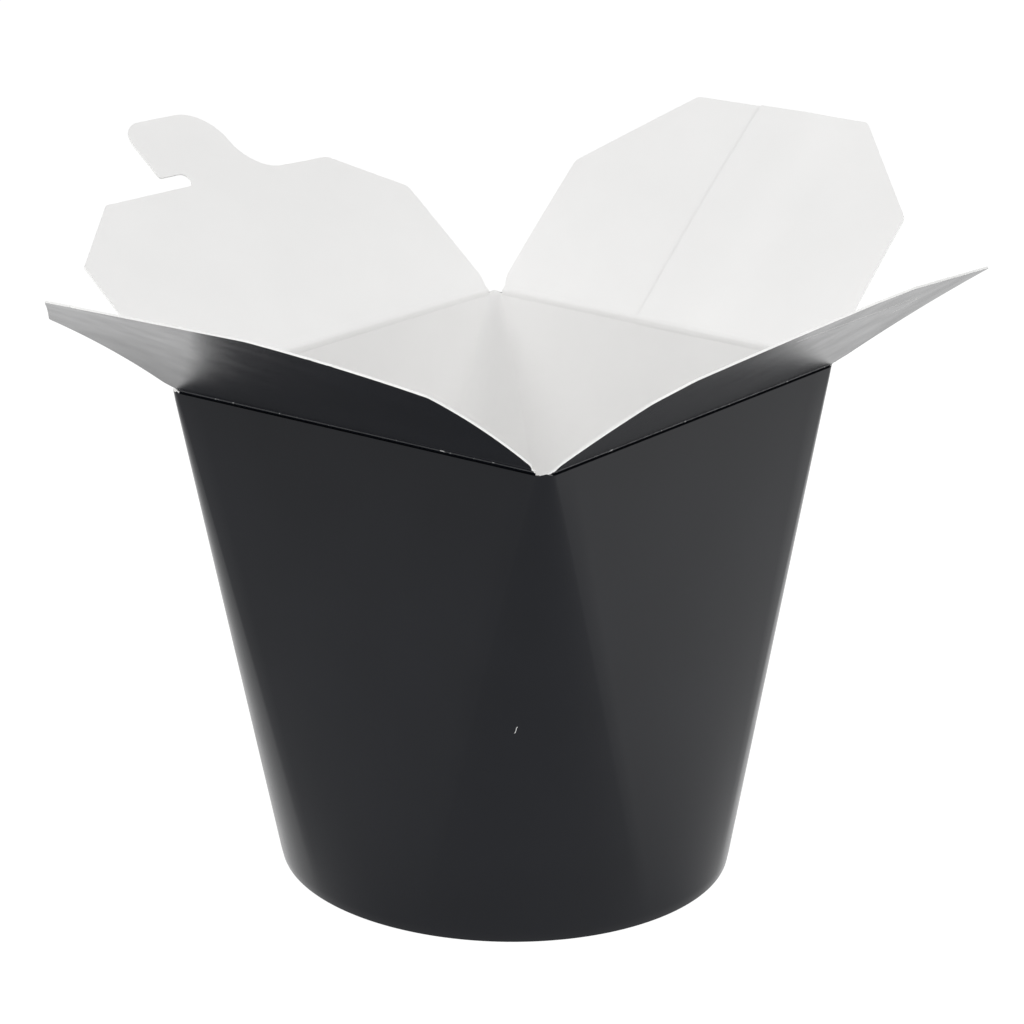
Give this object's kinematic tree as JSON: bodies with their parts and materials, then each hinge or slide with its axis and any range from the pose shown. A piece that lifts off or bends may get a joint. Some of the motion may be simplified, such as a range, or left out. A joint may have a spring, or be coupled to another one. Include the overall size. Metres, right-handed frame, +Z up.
{
  "type": "noodle takeaway box",
  "caption": "Open paperboard takeaway box with a round foot and a square rim, black outside and white inside, whose hinged top flaps fold over and lock with a hooked tongue.",
  "frame": {"origin": "bottom centre of the whole open box, at the level of the ring it stands on", "axes": "+Z up, +Y towards the tongue flap, +X towards the dust flap that carries the glued seam"},
  "size_m": [0.1988, 0.1736, 0.1393],
  "materials": {
    "black_white_board": "satin black coating outside, semi-matt white coating inside, white cut edges",
    "white_board": "semi-matt white coated board"
  },
  "bodies": {
    "box": {"sleeve": "black_white_board", "base": "white_board"},
    "dust_flap_plain": {"dust_flap_plain": "black_white_board"},
    "dust_flap_seam": {"dust_flap_seam": "black_white_board"},
    "slot_flap": {"slot_flap": "black_white_board"},
    "tongue_flap": {"tongue_flap": "black_white_board"}
  },
  "joints": [
    {"name": "plain_dust_hinge", "type": "hinge", "parent": "box", "child": "dust_flap_plain", "pos_m": [-0.04333, -0.00383, 0.1002], "axis": [-0.0307, 0.9995, 0], "range_deg": [-85, 156.6]},
    {"name": "seam_dust_hinge", "type": "hinge", "parent": "box", "child": "dust_flap_seam", "pos_m": [0.05587, -0.00383, 0.1002], "axis": [-0.0307, -0.9995, 0], "range_deg": [-90, 140.4]},
    {"name": "slot_flap_hinge", "type": "hinge", "parent": "box", "child": "slot_flap", "pos_m": [0.00627, -0.04764, 0.1002], "axis": [-1, 0, 0], "range_deg": [-88, 130.9]},
    {"name": "tongue_flap_hinge", "type": "hinge", "parent": "box", "child": "tongue_flap", "pos_m": [0.00627, 0.03996, 0.1002], "axis": [1, 0, 0], "range_deg": [-88, 123.7]}
  ]
}
